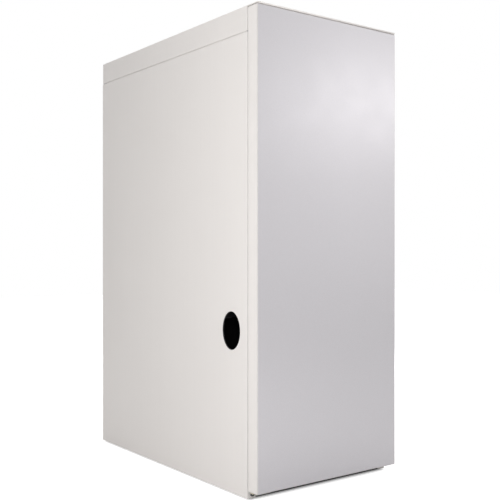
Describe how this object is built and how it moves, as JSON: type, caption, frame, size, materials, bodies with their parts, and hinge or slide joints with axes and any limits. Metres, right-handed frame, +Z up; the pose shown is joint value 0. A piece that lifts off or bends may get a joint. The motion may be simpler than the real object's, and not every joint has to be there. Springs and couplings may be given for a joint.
{
  "type": "floor standing gas boiler",
  "caption": "Tall narrow sheet-metal gas boiler with a full-height hinged door, an oval gas entry low on its left side, and flue and water connections behind.",
  "frame": {"origin": "on the floor under the middle of the whole boiler, rear connections included", "axes": "+Z up; the door faces -Y and the connections +Y; +X is the right side seen from the front"},
  "size_m": [0.335, 0.62, 0.85],
  "materials": {
    "door_silver": "silver-grey satin paint",
    "casing_white": "warm white satin paint",
    "frame_black": "matt black paint",
    "zinc_plate": "zinc plated",
    "boiler_paint": "heat-resistant dark grey paint",
    "galvanised_sheet": "galvanised",
    "brass": "machined",
    "bright_steel": "bright",
    "copper": "drawn copper",
    "black_plastic": "moulded, fine texture",
    "red_plastic": "moulded, gloss",
    "panel_grey": "grey satin paint",
    "valve_casting": "die cast",
    "clear_glass": "clear",
    "ceramic": "glazed ceramic",
    "foil_faced_mat": "mineral wool with a foil face",
    "foot_rubber": "matt"
  },
  "bodies": {
    "casing": {"top_cover": "casing_white", "left_side_panel": "casing_white", "right_side_panel": "casing_white", "rear_panel": "galvanised_sheet", "front_top_rail": "galvanised_sheet", "base_rail_left": "frame_black", "base_rail_right": "frame_black", "base_cross_front": "frame_black", "base_cross_rear": "frame_black", "lower_hinge_plate": "zinc_plate", "upper_hinge_plate": "zinc_plate", "magnet_catch_lower": "black_plastic", "magnet_catch_upper": "black_plastic", "instrument_panel": "panel_grey", "thermometer_case": "black_plastic", "thermometer_glass": "clear_glass", "thermometer_capillary": "copper", "piezo_igniter": "black_plastic", "limit_thermostat": "black_plastic", "gas_valve_body": "valve_casting", "gas_inlet_pipe": "bright_steel", "gas_outlet_pipe": "bright_steel", "burner_manifold": "bright_steel", "burner_tube_1": "bright_steel", "burner_tube_2": "bright_steel", "burner_tube_3": "bright_steel", "burner_plate": "galvanised_sheet", "sight_glass": "clear_glass", "pilot_burner": "brass", "thermocouple": "copper", "ignition_electrode": "ceramic", "boiler_stand": "galvanised_sheet", "boiler_shell": "boiler_paint", "firebox": "boiler_paint", "fire_tube_1": "boiler_paint", "fire_tube_2": "boiler_paint", "turbulator_1": "bright_steel", "turbulator_2": "bright_steel", "insulation_mat": "foil_faced_mat", "flue_hood": "galvanised_sheet", "cleaning_cover": "galvanised_sheet", "flue_collar": "galvanised_sheet", "flow_pipe": "boiler_paint", "return_pipe": "boiler_paint", "drain_cock": "brass"},
    "door": {"front_door": "door_silver"},
    "bolt": {"hinge_bolt": "bright_steel"},
    "needle": {"thermometer_needle": "red_plastic"},
    "valve_knob": {"gas_valve_knob": "black_plastic"},
    "pilot_press": {"pilot_button": "red_plastic"},
    "piezo_press": {"piezo_button": "red_plastic"},
    "reset_press": {"reset_button": "red_plastic"},
    "sight_flap": {"sight_cover": "bright_steel"},
    "drain_handle": {"drain_lever": "red_plastic"},
    "front_left_foot": {"foot_front_left": "foot_rubber"},
    "front_right_foot": {"foot_front_right": "foot_rubber"},
    "rear_left_foot": {"foot_rear_left": "foot_rubber"},
    "rear_right_foot": {"foot_rear_right": "foot_rubber"}
  },
  "joints": [
    {"name": "door_hinge", "type": "hinge", "parent": "casing", "child": "door", "pos_m": [-0.1625, -0.289, 0.016], "axis": [0, 0, -1], "range_deg": [0, 100]},
    {"name": "bolt_slide", "type": "slide", "parent": "door", "child": "bolt", "axis": [0, 0, -1], "range_m": [0, 0.008], "stiffness_N_per_m": 300, "springref_m": -0.006},
    {"name": "needle_pivot", "type": "hinge", "parent": "casing", "child": "needle", "pos_m": [-0.085, -0.2802, 0.62], "axis": [0, 1, 0], "range_deg": [0, 270]},
    {"name": "valve_knob_turn", "type": "hinge", "parent": "casing", "child": "valve_knob", "pos_m": [-0.014, -0.262, 0.288], "axis": [0, -1, 0], "range_deg": [0, 270]},
    {"name": "pilot_button_press", "type": "slide", "parent": "casing", "child": "pilot_press", "axis": [0, 1, 0], "range_m": [0, 0.006], "stiffness_N_per_m": 400, "springref_m": -0.003},
    {"name": "piezo_button_press", "type": "slide", "parent": "casing", "child": "piezo_press", "axis": [0, 1, 0], "range_m": [0, 0.007], "stiffness_N_per_m": 600, "springref_m": -0.003},
    {"name": "reset_button_press", "type": "slide", "parent": "casing", "child": "reset_press", "axis": [0, 1, 0], "range_m": [0, 0.003], "stiffness_N_per_m": 500, "springref_m": -0.002},
    {"name": "sight_cover_swing", "type": "hinge", "parent": "casing", "child": "sight_flap", "pos_m": [0.035, -0.1551, 0.188], "axis": [0, 1, 0], "range_deg": [-80, 80]},
    {"name": "drain_lever_turn", "type": "hinge", "parent": "casing", "child": "drain_handle", "pos_m": [-0.085, 0.284, 0.2513], "axis": [0, 0, 1], "range_deg": [0, 90]},
    {"name": "front_left_foot_screw", "type": "hinge", "parent": "casing", "child": "front_left_foot", "pos_m": [-0.1482, -0.2515, 0], "axis": [0, 0, 1], "continuous": true},
    {"name": "front_right_foot_screw", "type": "hinge", "parent": "casing", "child": "front_right_foot", "pos_m": [0.1482, -0.2515, 0], "axis": [0, 0, 1], "continuous": true},
    {"name": "rear_left_foot_screw", "type": "hinge", "parent": "casing", "child": "rear_left_foot", "pos_m": [-0.1482, 0.235, 0], "axis": [0, 0, 1], "continuous": true},
    {"name": "rear_right_foot_screw", "type": "hinge", "parent": "casing", "child": "rear_right_foot", "pos_m": [0.1482, 0.235, 0], "axis": [0, 0, 1], "continuous": true}
  ]
}
